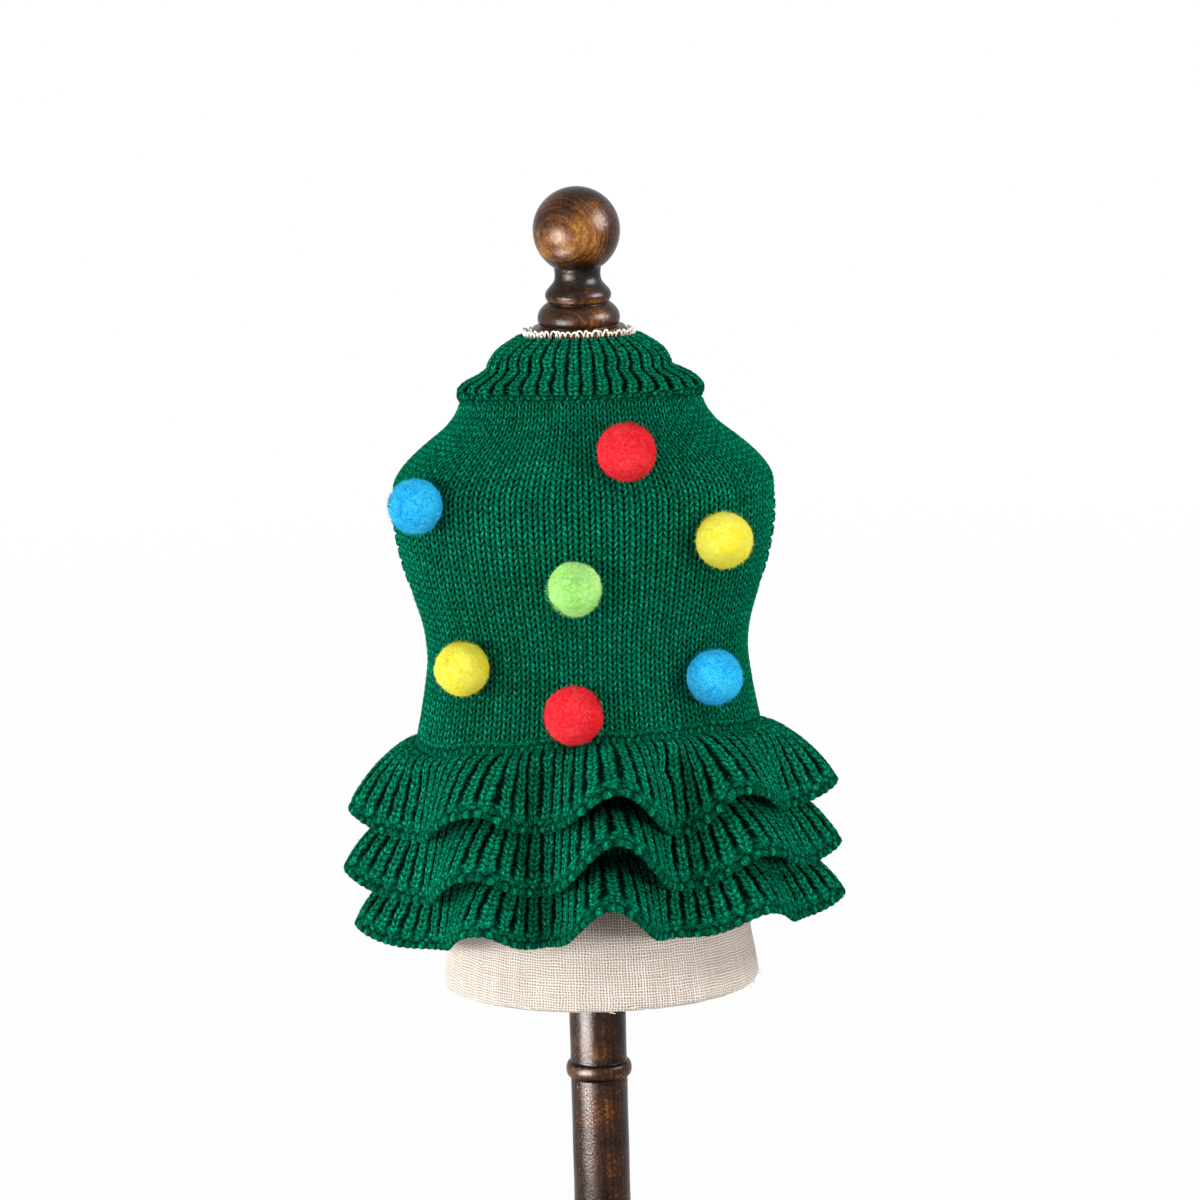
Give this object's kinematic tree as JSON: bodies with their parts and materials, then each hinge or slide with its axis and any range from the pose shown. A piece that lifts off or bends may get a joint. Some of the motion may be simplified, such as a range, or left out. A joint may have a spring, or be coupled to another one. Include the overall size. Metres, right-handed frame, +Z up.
{
  "type": "dog sweater dress on a small dress form",
  "caption": "Knitted dog sweater dress with a rib collar, ruffled skirt and wool pom-poms, worn by a limbless linen dress form on a turned wooden stand.",
  "frame": {"origin": "centre of the stand base's flat underside", "axes": "+Z up along the pole, -Y towards the back of the dress with the pom-poms, +X to its right as seen from that side"},
  "size_m": [0.2276, 0.1952, 0.516],
  "materials": {
    "knit_green": "matte knitted yarn, stockinette and rib",
    "wool_red": "matte fuzzy wool",
    "wool_blue": "matte fuzzy wool",
    "wool_yellow": "matte fuzzy wool",
    "wool_lime": "matte fuzzy wool",
    "linen": "matte open linen weave",
    "walnut": "glossy dark varnish"
  },
  "bodies": {
    "root": {"back_panel": "knit_green", "belly_panel": "knit_green", "collar": "knit_green", "leg_band_left": "knit_green", "leg_band_right": "knit_green", "skirt_base": "knit_green", "ruffle_tier_1": "knit_green", "ruffle_tier_2": "knit_green", "ruffle_tier_3": "knit_green", "pompom_red_upper": "wool_red", "pompom_red_waist": "wool_red", "pompom_blue_left": "wool_blue", "pompom_blue_right": "wool_blue", "pompom_yellow_left": "wool_yellow", "pompom_yellow_right": "wool_yellow", "pompom_lime": "wool_lime", "dress_form": "linen", "neck_finial": "walnut", "stand_pole": "walnut", "stand_base": "walnut"}
  },
  "joints": []
}
